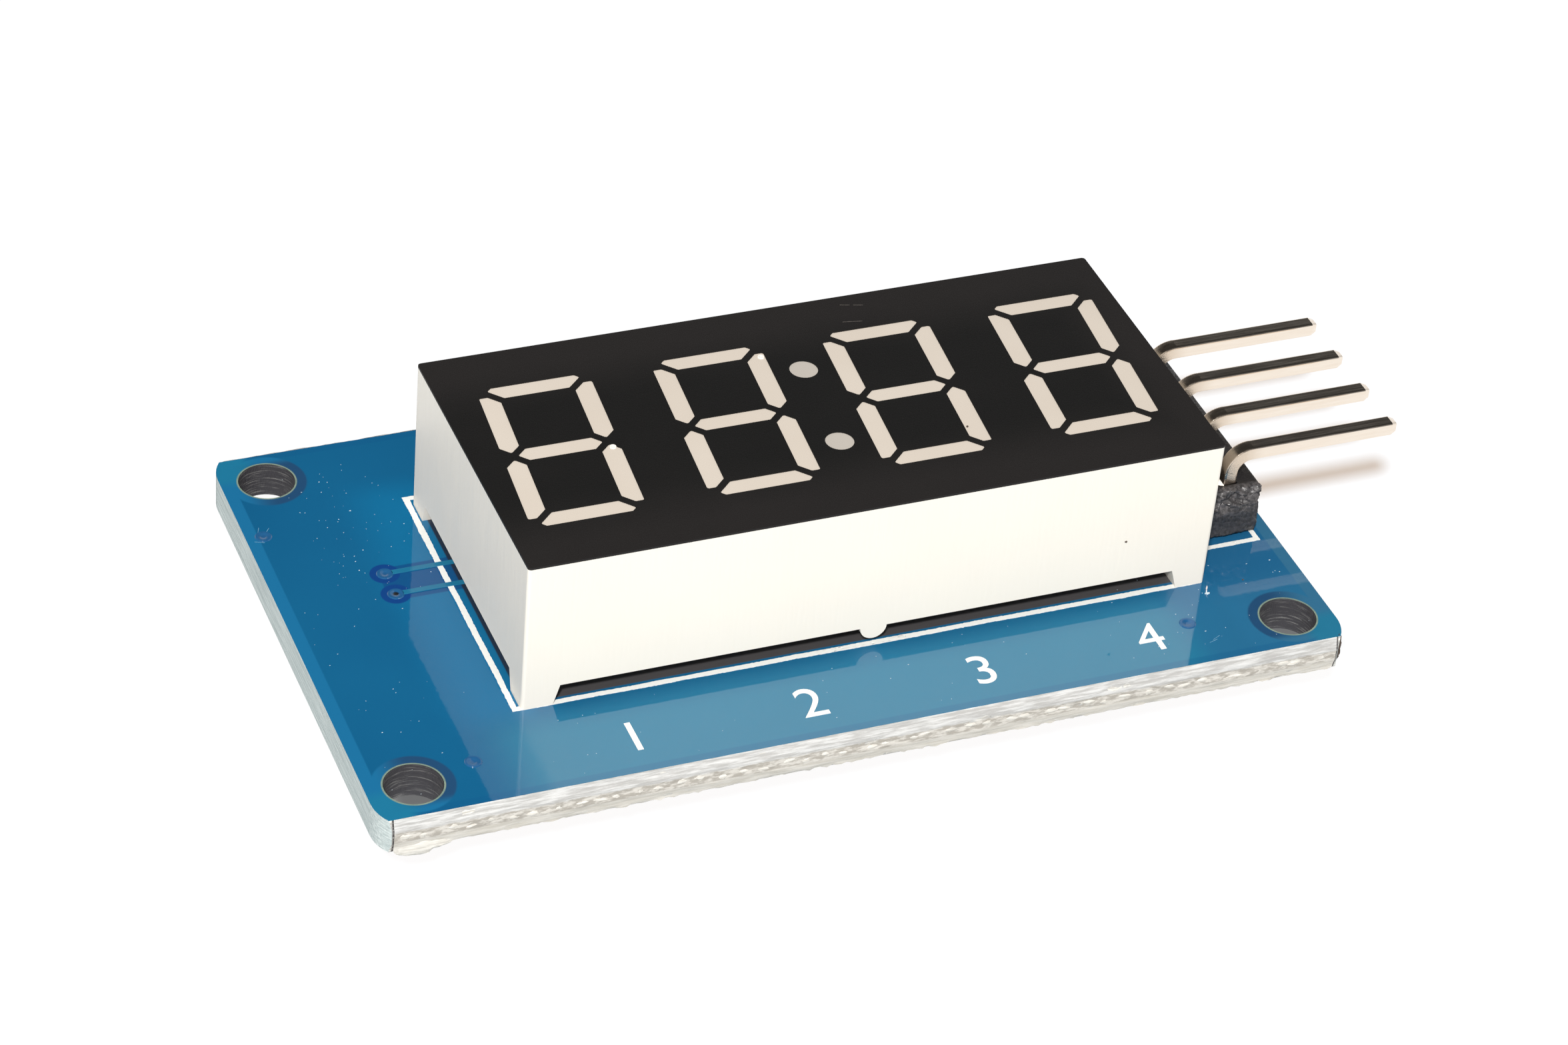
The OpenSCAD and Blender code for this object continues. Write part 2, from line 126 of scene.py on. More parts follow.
def product(tree, *shares):
    """1 only where all the shares are 1."""
    result = shares[0]
    for share in shares[1:]:
        result = calc(tree, "MULTIPLY", result, share)
    return result


def band(tree, value, start, full, fade, end):
    """1 from full to fade, easing to 0 at start and at end."""
    return product(tree, ramp(tree, value, start, full), ramp(tree, value, fade, end, 1, 0))


def blend(tree, share, a, b):
    """Colour a where share is 0 and colour b where it is 1."""
    made = add(tree, "Mix", data_type="RGBA")
    for socket, value in ((made.inputs[0], share), (made.inputs[6], a), (made.inputs[7], b)):
        if isinstance(value, bpy.types.NodeSocket):
            tree.links.new(value, socket)
        else:
            socket.default_value = value
    return made.outputs[2]

# %% Finish helpers
def new_finish(name):
    """Material, its node tree, its shader, and the place on the object in millimetres."""
    material = bpy.data.materials.new(name)
    material.use_nodes = True
    tree = material.node_tree
    coordinates = add(tree, "TexCoord")
    place = add(tree, "VectorMath", {0: coordinates.outputs["Object"], 3: 1 / MM}, operation="SCALE").outputs[0]
    return material, tree, tree.nodes["Principled BSDF"], place


def grain(tree, place, scale=(1, 1, 1), detail=3.0, roughness=0.55):
    """Noise between 0 and 1, with its grain given per millimetre along X, Y and Z."""
    stretched = add(tree, "VectorMath", {0: place, 1: scale}, operation="MULTIPLY").outputs[0]
    return add(tree, "TexNoise", {"Vector": stretched, "Scale": 1.0, "Detail": detail,
                                  "Roughness": roughness}).outputs["Fac"]


def relief(tree, shader, height, depth_mm, strength=1.0):
    """Bump of the given depth from a height between 0 and 1."""
    bump = add(tree, "Bump", {"Height": height, "Distance": depth_mm * MM, "Strength": strength})
    tree.links.new(bump.outputs[0], shader.inputs["Normal"])


def wire(tree, value, shader, socket):
    tree.links.new(value, shader.inputs[socket])


def grained_finish(name, dark, pale, smooth, rough, size, depth, detail=4, strength=0.6):
    """Plain finish in which one grain sets the colour, the roughness and the relief."""
    material, tree, shader, place = new_finish(name)
    pits = grain(tree, place, (size, size, size), detail)
    wire(tree, blend(tree, pits, dark, pale), shader, "Base Color")
    wire(tree, ramp(tree, pits, 0.3, 0.7, smooth, rough), shader, "Roughness")
    relief(tree, shader, pits, depth, strength)
    return material


def dress(material, *names):
    """Give CAD nodes a finish in place of the plain one that they came with."""
    for name in names:
        nodes[name].data.materials.clear()
        nodes[name].data.materials.append(material)
    print(material.name, "on", len(names), "nodes")

# %% [markdown]
# ## Table and light
# The real module lies on white paper under a small light a little above and to the left of the lens. That gives
# bright walls, black gaps under them, short shadows below the pins and dark mirror images of the room in every
# upward face. The floor is a plain sheet; its own glow burns it out to white as in the picture. Only by the pins is
# the glow low enough for their shadows to show. Under the board its glow is lowered as painted shade, and seen from
# below it is clear.

# %% Floor
bpy.ops.mesh.primitive_plane_add(size=6, location=(0, 0, cad_low.z))
floor = bpy.context.object
floor.name = "paper_floor"
paper_base, paper_glow = (0.17, 0.23, 0.27, 1), (1.0, 0.93, 0.88, 1)
burnt_base, burnt_glow = (0.05, 0.07, 0.08, 1), (0.97, 0.95, 0.94, 1)
shadow_base, shadow_glow = (0.54, 0.68, 0.82, 1), (0.41, 0.25, 0.11, 1)
paper, tree, shader, place = new_finish("white_paper")
shader.inputs["Roughness"].default_value = 0.9
shader.inputs["Specular IOR Level"].default_value = 0.0
rays = add(tree, "LightPath").outputs
seen = calc(tree, "MAXIMUM", rays["Is Camera Ray"], rays["Is Glossy Ray"])
seen = calc(tree, "MAXIMUM", seen, rays["Is Transmission Ray"])
x, y = add(tree, "SeparateXYZ", {0: place}).outputs[:2]
# painted shade: the floor's glow is lowered under the board, where the board's shadow falls
painted_shade_under_board = product(tree, band(tree, x, -20.0, -17.8, 21.8, 24.6), band(tree, y, -9.0, -6.6, 9.0, 13.0))
shade = ramp(tree, painted_shade_under_board, 0, 1, 1.0, 0.16)
from_middle = add(tree, "VectorMath", {0: place}, operation="LENGTH").outputs["Value"]
by_pins = product(tree, ramp(tree, x, 22.5, 25.0), ramp(tree, y, 0.0, 2.5), ramp(tree, from_middle, 36, 50, 1, 0))
seen_base = blend(tree, by_pins, burnt_base, shadow_base)
seen_glow = blend(tree, by_pins, burnt_glow, shadow_glow)
wire(tree, blend(tree, seen, paper_base, seen_base), shader, "Base Color")
wire(tree, blend(tree, seen, paper_glow, seen_glow), shader, "Emission Color")
wire(tree, add(tree, "Mix", {0: seen, 2: 0.35, 3: shade}).outputs[0], shader, "Emission Strength")
clear = add(tree, "BsdfTransparent")
sides = add(tree, "MixShader", {0: add(tree, "NewGeometry").outputs["Backfacing"], 1: shader.outputs[0],
                                2: clear.outputs[0]})
tree.links.new(sides.outputs[0], tree.nodes["Material Output"].inputs["Surface"])
floor.data.materials.append(paper)
print("floor at", round(cad_low.z / MM, 2), "mm")

# %% Lamp and room
lamp_azimuth, lamp_height, lamp_distance = math.radians(-28.5), math.radians(45), 0.42
lamp_way = Vector((math.sin(lamp_azimuth) * math.cos(lamp_height), -math.cos(lamp_azimuth) * math.cos(lamp_height),
                   math.sin(lamp_height)))
bpy.ops.object.light_add(type="AREA", location=lamp_way * lamp_distance)
lamp = bpy.context.object
lamp.name = "soft_flash"
lamp.rotation_euler = lamp_way.to_track_quat("Z", "Y").to_euler()
lamp.data.shape = "DISK"
lamp.data.size = 0.034
lamp.data.energy = 2.18
lamp.data.color = (1.0, 0.985, 0.96)

world = bpy.data.worlds.new("studio")
bpy.context.scene.world = world
world.use_nodes = True
tree = world.node_tree
room = tree.nodes["Background"]
rays = add(tree, "LightPath").outputs
height = add(tree, "SeparateXYZ", {0: add(tree, "TexCoord").outputs["Generated"]}).outputs["Z"]
dark_above = ramp(tree, height, 0.1, 0.6, 0.95, 0.035)
soft_above = ramp(tree, height, 0.0, 0.7, 0.64, 0.42)
fill = blend(tree, rays["Is Glossy Ray"], soft_above, dark_above)
seen = calc(tree, "MAXIMUM", rays["Is Camera Ray"], rays["Is Transmission Ray"])
tree.links.new(blend(tree, seen, fill, (1, 1, 1, 1)), room.inputs["Color"])
print("lamp", round(lamp.location.length / MM), "mm away")

# %% [markdown]
# ## Coated board
# The board is woven glass and resin, faced with copper and a glossy blue coating. Where the copper stops, near the
# edges and round the holes, light gets into the board and the blue turns lighter or deeper. Next to the white walls
# the coating is painted paler, for the light and reflections that they throw, and under the display it is painted
# dark, as shade for the gaps under its walls. The short edges and corners were cut by a router and are smooth; the
# long edges were snapped along a score and show broken glass. One finish covers it all and picks its part by place
# and by the way a face looks.

# %% Places on the board
board_half = (21.0, 11.97)
hole_centre = (19.05, 10.16)
traced_lands = [(-16.17, 2.78), (-16.13, 1.38)]
coated_board, tree, shader, place = new_finish("coated_board")
x, y, z = add(tree, "SeparateXYZ", {0: place}).outputs
look_x, look_y, look_z = (calc(tree, "ABSOLUTE", s) for s in
                          add(tree, "SeparateXYZ", {0: add(tree, "TexCoord").outputs["Normal"]}).outputs)
away_x, away_y = calc(tree, "ABSOLUTE", x), calc(tree, "ABSOLUTE", y)
in_x = calc(tree, "SUBTRACT", board_half[0], away_x)
in_y = calc(tree, "SUBTRACT", board_half[1], away_y)
hole_x = calc(tree, "POWER", calc(tree, "SUBTRACT", away_x, hole_centre[0]), 2.0)
hole_y = calc(tree, "POWER", calc(tree, "SUBTRACT", away_y, hole_centre[1]), 2.0)
from_hole = calc(tree, "SQRT", calc(tree, "ADD", hole_x, hole_y))
print("board measured by", len(tree.nodes), "nodes")

# %% Coating
corner = product(tree, ramp(tree, in_x, 1.2, 2.0, 1, 0), ramp(tree, in_y, 1.2, 2.0, 1, 0))
bare = calc(tree, "MAXIMUM", ramp(tree, in_x, 0.5, 0.58, 1, 0), ramp(tree, from_hole, 1.62, 1.74, 1, 0))
bare = calc(tree, "MAXIMUM", bare, corner)
edge_light = calc(tree, "MAXIMUM", ramp(tree, in_x, 0.5, 2.2, 1, 0), ramp(tree, in_y, 0.3, 0.9, 1, 0))
edge_strip = blend(tree, ramp(tree, x, -1, 1), tint(25, 102, 145), tint(48, 101, 133))
over_glass = blend(tree, edge_light, tint(32, 69, 104), edge_strip)
over_glass = blend(tree, product(tree, corner, 0.7), over_glass, tint(28, 112, 142))
drift = grain(tree, place, (0.12, 0.12, 0.12), 2)
over_copper = blend(tree, drift, tint(13, 81, 122), tint(19, 94, 134))
# painted light: paler by the left wall and in front of the front wall, for the light and reflections the walls throw
by_left_wall = product(tree, band(tree, x, -17.3, -14.6, -13.4, -12.8), band(tree, y, -8.5, -6.5, 7.5, 9.5))
over_copper = blend(tree, by_left_wall, over_copper, tint(16, 99, 141))
over_copper = blend(tree, ramp(tree, x, 16, 18, 0, 0.6), over_copper, tint(36, 92, 131))
by_front_wall = product(tree, ramp(tree, y, -6.5, -9.0, 0, 0.6), ramp(tree, x, -16.5, -13.5))
front_strip = blend(tree, ramp(tree, x, 13.5, 15.5), tint(41, 122, 149), tint(42, 104, 139))
over_copper = blend(tree, by_front_wall, over_copper, front_strip)
over_copper = blend(tree, ramp(tree, in_y, 0.34, 0.42, 0.3, 0), over_copper, tint(14, 78, 124))
coating = blend(tree, bare, over_copper, over_glass)
on_top = ramp(tree, z, 0.7, 0.9)
window = product(tree, ramp(tree, x, -16.5, -16.42), band(tree, y, 0.94, 1.02, 3.12, 3.2), on_top)
coating = blend(tree, window, coating, tint(16, 74, 122))
ring = 0.0
for land in traced_lands:
    to_land = add(tree, "VectorMath", {0: add(tree, "CombineXYZ", {0: x, 1: y}).outputs[0], 1: (*land, 0)},
                  operation="DISTANCE").outputs["Value"]
    ring = calc(tree, "MAXIMUM", ring, ramp(tree, to_land, 0.6, 0.66, 1, 0))
coating = blend(tree, product(tree, ring, on_top), coating, tint(16, 60, 120))
# painted shade: the board under the display is darkened so that the gaps under its walls look black
shade_under_display = product(tree, band(tree, x, -13.42, -13.34, 16.2, 16.3), ramp(tree, away_y, 6.66, 6.76, 1, 0), on_top)
shade_colour_under_display = blend(tree, ramp(tree, x, -12.9, -12.5), tint(34, 44, 60), tint(68, 66, 67))
coating = blend(tree, shade_under_display, coating, shade_colour_under_display)
rim = ramp(tree, from_hole, 1.24, 1.29, 1, 0)
worn_rim = blend(tree, grain(tree, place, (3, 3, 3), 3), tint(88, 116, 110), tint(148, 160, 140))
coating = blend(tree, rim, coating, worn_rim)
print("coating mixed, now", len(tree.nodes), "nodes")

# %% Edges and bores
along = calc(tree, "ADD", calc(tree, "MULTIPLY", x, look_y), calc(tree, "MULTIPLY", y, look_x))
edge_place = add(tree, "CombineXYZ", {0: along, 1: z, 2: 0.0}).outputs[0]
fibre = grain(tree, edge_place, (0.9, 8.0, 1), 6, 0.65)
bundle = add(tree, "TexVoronoi", {"Vector": add(tree, "VectorMath", {0: edge_place, 1: (1.5, 4.2, 1)},
                                                operation="MULTIPLY").outputs[0], "Scale": 1.0,
                                  "Randomness": 0.9}).outputs["Distance"]
snapped = blend(tree, ramp(tree, fibre, 0.36, 0.66), tint(176, 171, 163), tint(243, 241, 234))
snapped = blend(tree, product(tree, ramp(tree, bundle, 0.42, 0.75), 0.6), snapped, tint(150, 150, 150))
layer = grain(tree, edge_place, (0.35, 14.0, 1), 3)
routed = blend(tree, ramp(tree, layer, 0.35, 0.65), tint(172, 183, 182), tint(204, 212, 210))
laminate = blend(tree, ramp(tree, look_y, 0.75, 0.95), routed, snapped)
crease = product(tree, band(tree, away_x, 20.4, 20.43, 20.46, 20.54), ramp(tree, away_y, 11.5, 11.7),
                 ramp(tree, fibre, 0.3, 0.5))
laminate = blend(tree, crease, laminate, tint(58, 54, 54))
turn = calc(tree, "ARCTAN2", calc(tree, "SUBTRACT", away_y, hole_centre[1]),
            calc(tree, "SUBTRACT", away_x, hole_centre[0]))
bore_place = add(tree, "CombineXYZ", {0: turn, 1: z, 2: calc(tree, "SIGN", x)}).outputs[0]
groove = grain(tree, bore_place, (1.1, 13.0, 3.0), 5, 0.6)
drilled = blend(tree, ramp(tree, groove, 0.5, 0.72), tint(52, 51, 56), tint(120, 119, 118))
in_hole = ramp(tree, from_hole, 1.28, 1.34, 1, 0)
laminate = blend(tree, in_hole, laminate, drilled)
print("edges mixed, now", len(tree.nodes), "nodes")

# %% Board finish
flat = ramp(tree, look_z, 0.6, 0.9)
wire(tree, blend(tree, flat, laminate, coating), shader, "Base Color")
wire(tree, ramp(tree, flat, 0, 1, 0.72, 0.04), shader, "Roughness")
peel = grain(tree, place, (1.6, 1.6, 1.6), 3)
edge_height = calc(tree, "ADD", fibre, product(tree, bundle, 0.5))
height = add(tree, "Mix", {0: flat, 2: edge_height, 3: product(tree, peel, 0.06)}).outputs[0]
relief(tree, shader, height, 0.05, 0.7)
polished = product(tree, ramp(tree, y, -6.6, -7.3), band(tree, x, -14.4, -13.4, 16.4, 17.2))
wire(tree, ramp(tree, polished, 0, 1, 0.34, 0.6), shader, "Specular IOR Level")
shader.inputs["IOR"].default_value = 1.65
dress(coated_board, "circuit_board")

# %% [markdown]
# ## Display housing and face
# The housing is opaque white plastic with a faint warm tone. Its mould was cut by sparks, so the walls carry fine
# upright marks. The black face is a printed layer: almost without shine, and a little dustier towards its rim.

# %% Housing and face finish
white_plastic, tree, shader, place = new_finish("white_plastic")
cloud = grain(tree, place, (0.25, 0.25, 0.25), 3)
marks = grain(tree, place, (7.0, 7.0, 0.35), 4)
colour = blend(tree, cloud, tint(234, 227, 215), tint(237, 230, 219))
wire(tree, blend(tree, product(tree, marks, 0.12), colour, tint(221, 219, 211)), shader, "Base Color")
wire(tree, ramp(tree, marks, 0.3, 0.7, 0.36, 0.48), shader, "Roughness")
relief(tree, shader, marks, 0.012, 0.6)
dress(white_plastic, "display_housing")

black_ink, tree, shader, place = new_finish("black_ink")
speck = grain(tree, place, (14, 14, 14), 2)
face_x, face_y = add(tree, "SeparateXYZ", {0: place}).outputs[:2]
dusty = calc(tree, "MAXIMUM", ramp(tree, calc(tree, "ABSOLUTE", face_y), 2.5, 6.3), ramp(tree, face_x, 13, 16.4))
dusty = calc(tree, "ADD", dusty, calc(tree, "MULTIPLY_ADD", grain(tree, place, (0.3, 0.3, 0.3)), 0.5, -0.25))
wire(tree, blend(tree, dusty, tint(13, 12, 11), tint(28, 25, 24)), shader, "Base Color")
wire(tree, ramp(tree, speck, 0.3, 0.7, 0.5, 0.66), shader, "Roughness")
shader.inputs["Specular IOR Level"].default_value = 0.27
relief(tree, shader, speck, 0.01, 0.5)
dress(black_ink, "display_face")

# %% [markdown]
# ## Resin in the windows
# Each window is filled with milky resin that was poured in and set. It is an even cream that drifts slightly from
# window to window, and its surface waves a little. The two dots of the colon are a touch greyer.

# %% Resin finish
def resin_finish(name, deep, pale):
    material, tree, shader, place = new_finish(name)
    wave = grain(tree, place, (0.3, 0.3, 0.3), 1)
    milk = grain(tree, place, (1.6, 1.6, 1.6), 2)
    wire(tree, blend(tree, wave, deep, pale), shader, "Base Color")
    wire(tree, ramp(tree, milk, 0.3, 0.7, 0.25, 0.3), shader, "Roughness")
    relief(tree, shader, wave, 0.008, 0.4)
    return material


segment_names = [f"digit_{digit}_segment_{letter}" for digit in range(1, 5) for letter in "abcdefg"]
dress(resin_finish("segment_resin", tint(200, 189, 176), tint(206, 196, 184)), *segment_names)
dress(resin_finish("dot_resin", tint(178, 171, 162), tint(186, 179, 170)), "colon_dot_upper", "colon_dot_lower")

# %% [markdown]
# ## Metal
# The header pins are square brass wire with bright tin: a warm mirror with faint drawing marks along its length.
# Where the wire was bent the tin has cracked, and the brass glints through brown. The display's own pins are duller
# tinned wire, and the solder is satin with a slight crust.

# %% Metal finishes
def metal_finish(name, dark, bright, smooth, rough, stretch, depth):
    material, tree, shader, place = new_finish(name)
    marks = grain(tree, place, stretch, 4)
    wire(tree, blend(tree, marks, dark, bright), shader, "Base Color")
    shader.inputs["Metallic"].default_value = 1.0
    wire(tree, ramp(tree, marks, 0.3, 0.7, smooth, rough), shader, "Roughness")
    relief(tree, shader, marks, depth, 0.5)
    return material


header_pins = [f"header_pin_{number}" for number in range(1, 5)]
bright_tin, tree, shader, place = new_finish("bright_tin")
marks = grain(tree, place, (0.6, 9, 9), 4)
crackle = grain(tree, place, (22, 22, 22), 3, 0.6)
bend = ramp(tree, add(tree, "SeparateXYZ", {0: place}).outputs["X"], 19.2, 20.5, 1, 0)
tin = blend(tree, marks, tint(236, 220, 202), tint(250, 240, 228))
cracked = blend(tree, crackle, tint(204, 182, 158), tint(236, 222, 206))
wire(tree, blend(tree, bend, tin, cracked), shader, "Base Color")
shader.inputs["Metallic"].default_value = 1.0
wire(tree, calc(tree, "MULTIPLY_ADD", bend, 0.06, ramp(tree, marks, 0.3, 0.7, 0.09, 0.18)), shader, "Roughness")
relief(tree, shader, calc(tree, "ADD", marks, product(tree, bend, crackle)), 0.008, 0.5)
dress(bright_tin, *header_pins)
dress(metal_finish("tinned_wire", tint(186, 185, 181), tint(222, 221, 217), 0.22, 0.4, (5, 5, 0.6), 0.01),
      "display_pins_front", "display_pins_back")
dress(metal_finish("lead_tin", tint(190, 189, 185), tint(220, 219, 215), 0.25, 0.4, (3, 3, 3), 0.01), "chip_leads")
dress(metal_finish("satin_solder", tint(176, 178, 181), tint(220, 222, 224), 0.24, 0.45, (4, 4, 4), 0.03),
      "display_solder", "header_solder", "chip_solder", "passive_solder")
dress(metal_finish("die_metal", tint(180, 150, 70), tint(214, 186, 110), 0.25, 0.4, (12, 12, 12), 0.004), "led_dies")

# %% [markdown]
# ## Black plastics and ceramics
# The header strip and the driver are moulded black plastic; the driver has a finer, greyer grain. The small
# capacitors are tan ceramic and the resistors black glaze, each with a tinned cap at both ends.

# %% Plastic finishes
header_plastic, tree, shader, place = new_finish("header_plastic")
strip_y, strip_z = add(tree, "SeparateXYZ", {0: place}).outputs[1:]
torn = ramp(tree, strip_y, -4.1, -4.4)
pits = grain(tree, place, (7, 7, 7), 5, 0.6)
moulded = blend(tree, pits, tint(22, 21, 22), tint(34, 33, 34))
crumbled = blend(tree, ramp(tree, pits, 0.3, 0.7), tint(34, 32, 33), tint(92, 89, 90))
sheared = blend(tree, ramp(tree, pits, 0.3, 0.7), tint(26, 26, 28), tint(60, 59, 62))
broken = blend(tree, ramp(tree, strip_z, 2.5, 3.2), sheared, crumbled)
wire(tree, blend(tree, torn, moulded, broken), shader, "Base Color")
wire(tree, ramp(tree, pits, 0.35, 0.68, 0.55, 0.24), shader, "Roughness")
relief(tree, shader, pits, 0.03, 0.7)
dress(header_plastic, "header_body")
dress(grained_finish("chip_plastic", tint(33, 33, 35), tint(50, 50, 52), 0.5, 0.7, 11, 0.015), "driver_chip")
dress(grained_finish("inner_board", tint(168, 172, 128), tint(190, 192, 150), 0.5, 0.7, 3, 0.01), "display_substrate")
dress(grained_finish("potting_resin", tint(205, 196, 178), tint(226, 218, 202), 0.18, 0.3, 0.7, 0.06), "back_potting")

# %% Ceramic finishes
def passive_finish(name, dark, pale):
    """Ceramic body with a tinned cap at each end of its longer side."""
    low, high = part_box(name)
    middle = (low + high) / 2 / MM
    size = (high - low) / MM
    lengthwise = 0 if size.x > size.y else 1
    material, tree, shader, place = new_finish(name + "_finish")
    offset = add(tree, "VectorMath", {0: place, 1: middle}, operation="SUBTRACT").outputs[0]
    reach = calc(tree, "ABSOLUTE", add(tree, "SeparateXYZ", {0: offset}).outputs[lengthwise])
    cap = ramp(tree, reach, max(size.x, size.y) / 2 - 0.32, max(size.x, size.y) / 2 - 0.28)
    speckle = grain(tree, place, (9, 9, 9), 4)
    body = blend(tree, speckle, dark, pale)
    tin = blend(tree, speckle, tint(176, 177, 178), tint(216, 216, 214))
    wire(tree, blend(tree, cap, body, tin), shader, "Base Color")
    wire(tree, cap, shader, "Metallic")
    wire(tree, ramp(tree, cap, 0, 1, 0.55, 0.34), shader, "Roughness")
    relief(tree, shader, speckle, 0.012, 0.6)
    dress(material, name)


for number in range(1, 5):
    passive_finish(f"capacitor_{number}", tint(150, 120, 88), tint(182, 152, 116))
for number in (1, 2):
    passive_finish(f"resistor_{number}", tint(26, 26, 28), tint(44, 44, 47))

# %% [markdown]
# ## Modelling helpers
# The added pieces are shaped in millimetres, because Blender's operators are easier to steer with numbers near one,
# and are shrunk to metres at the end. Some helpers choose a piece, open and close edit mode and select by place. The
# last one finishes a piece: it puts the place into the mesh, gives the finish and hands the piece to the frame.

# %% Modelling helpers
board_top = 1.6


def clear_selection():
    if bpy.context.object and bpy.context.object.mode == "EDIT":
        bpy.ops.object.mode_set(mode="OBJECT")
    bpy.ops.object.select_all(action="DESELECT")


def choose(piece):
    """Make a piece the only selected one, and the active one."""
    clear_selection()
    piece.select_set(True)
    bpy.context.view_layer.objects.active = piece


def settle():
    """Put the selected piece's place, turn and scale into its mesh."""
    bpy.ops.object.transform_apply(location=True, rotation=True, scale=True)


def start_edit():
    settle()
    bpy.ops.object.mode_set(mode="EDIT")
    bpy.ops.mesh.select_all(action="SELECT")


def end_edit(outward=False):
    """Leave edit mode; with outward, all faces are turned to look out first."""
    if outward:
        bpy.ops.mesh.select_all(action="SELECT")
        bpy.ops.mesh.normals_make_consistent(inside=False)
    bpy.ops.object.mode_set(mode="OBJECT")


def pick(kind, test):
    """Select the vertices, edges or faces whose middle passes the test; returns how many."""
    bpy.ops.mesh.select_mode(type=kind)
    bpy.ops.mesh.select_all(action="DESELECT")
    mesh = bmesh.from_edit_mesh(bpy.context.object.data)
    items = {"VERT": mesh.verts, "EDGE": mesh.edges, "FACE": mesh.faces}[kind]
    chosen = 0
    for item in items:
        middle = item.co if kind == "VERT" else sum((v.co for v in item.verts), Vector()) / len(item.verts)
        if test(item, middle):
            item.select_set(True)
            chosen += 1
    bmesh.update_edit_mesh(bpy.context.object.data)
    return chosen

# %% Joining, copying and handing over
def apply_modifier(piece, kind, **settings):
    modifier = piece.modifiers.new(kind.lower(), kind)
    for key, value in settings.items():
        setattr(modifier, key, value)
    bpy.context.view_layer.objects.active = piece
    bpy.ops.object.modifier_apply(modifier=modifier.name)


def join_all(pieces):
    clear_selection()
    for piece in pieces:
        piece.select_set(True)
    bpy.context.view_layer.objects.active = pieces[0]
    if len(pieces) > 1:
        bpy.ops.object.join()
    return pieces[0]


def copy_to(piece, place, turn=0.0):
    """Copy of a piece with its own mesh, moved and turned about Z."""
    choose(piece)
    bpy.ops.object.duplicate(linked=False)
    copy = bpy.context.object
    copy.location = Vector(place)
    copy.rotation_euler.z = turn
    settle()
    return copy


def hand_over(piece, name, material, smooth_angle=None):
    """Shrink to metres, dress, and let the piece ride on the board."""
    choose(piece)
    piece.location, piece.scale = piece.location * MM, piece.scale * MM
    settle()
    if smooth_angle:
        bpy.ops.object.shade_smooth_by_angle(angle=math.radians(smooth_angle))
    piece.name = piece.data.name = name
    piece.data.materials.clear()
    piece.data.materials.append(material)
    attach(piece, "root")
    print(name, len(piece.data.polygons), "faces")
    return piece

# %% [markdown]
# ## Printed lines and numbers
# White ink is squeezed through a screen onto the coating, so a line has real thickness and a slightly ragged edge
# where the screen's threads were. A printed frame starts as a plane with an inset face; the inner face is deleted,
# the sides are cut into short lengths and shaken a little, and Solidify gives the ink its height.

# %% Ink
white_ink = grained_finish("white_ink", tint(222, 222, 217), tint(234, 234, 230), 0.42, 0.62, 9, 0.01, 3)
ink_height = 0.018


def lengthwise_cuts(axis, pieces):
    """Cut every edge that runs along one axis into the given number of pieces."""
    pick("EDGE", lambda edge, middle: abs((edge.verts[0].co - edge.verts[1].co).normalized()[axis]) > 0.99)
    bpy.ops.mesh.subdivide(number_cuts=pieces - 1)


def ink_frame(name, x_low, x_high, y_low, y_high, line, seed):
    """Printed rectangle; the numbers are the middle of its line."""
    clear_selection()
    bpy.ops.mesh.primitive_plane_add(size=1, location=((x_low + x_high) / 2, (y_low + y_high) / 2, board_top))
    piece = bpy.context.object
    piece.scale = (x_high - x_low + line, y_high - y_low + line, 1)
    start_edit()
    bpy.ops.mesh.inset(thickness=line)
    bpy.ops.mesh.delete(type="FACE")
    coarse, fine = 1.2, 0.08
    for pieces_x, pieces_y, shake in ((round((x_high - x_low) / coarse), round((y_high - y_low) / coarse), 0.03),
                                      (round(coarse / fine), round(coarse / fine), 0.02)):
        lengthwise_cuts(0, pieces_x)
        lengthwise_cuts(1, pieces_y)
        bpy.ops.mesh.select_all(action="SELECT")
        bpy.ops.transform.vertex_random(offset=shake, seed=seed)
    bpy.ops.transform.resize(value=(1, 1, 0), center_override=(0, 0, board_top))
    end_edit()
    apply_modifier(piece, "SOLIDIFY", thickness=ink_height, offset=1.0)
    return hand_over(piece, name, white_ink)


ink_frame("printed_display_outline", -13.82, 16.3, -6.98, 7.4, 0.25, 3)
ink_frame("printed_header_outline", 17.66, 20.14, -4.98, 5.2, 0.22, 5)

# %% Numbers under the digits
number_height, number_middle_y = 1.75, -9.95
digit_middles = [-9.83, -2.28, 5.27, 12.83]
numbers = []
for index, middle_x in enumerate(digit_middles, start=1):
    clear_selection()
    bpy.ops.object.text_add(location=(middle_x, number_middle_y, board_top))
    text = bpy.context.object
    text.data.body = str(index)
    text.data.align_x, text.data.align_y = "CENTER", "CENTER"
    text.data.size = number_height / 0.7
    text.data.resolution_u = 6
    bpy.ops.object.convert(target="MESH")
    numbers.append(bpy.context.object)
    start_edit()
    bpy.ops.mesh.remove_doubles(threshold=0.001)
    end_edit()
    apply_modifier(numbers[-1], "SOLIDIFY", thickness=ink_height, offset=1.0)
hand_over(join_all(numbers), "printed_numbers", white_ink, 20)
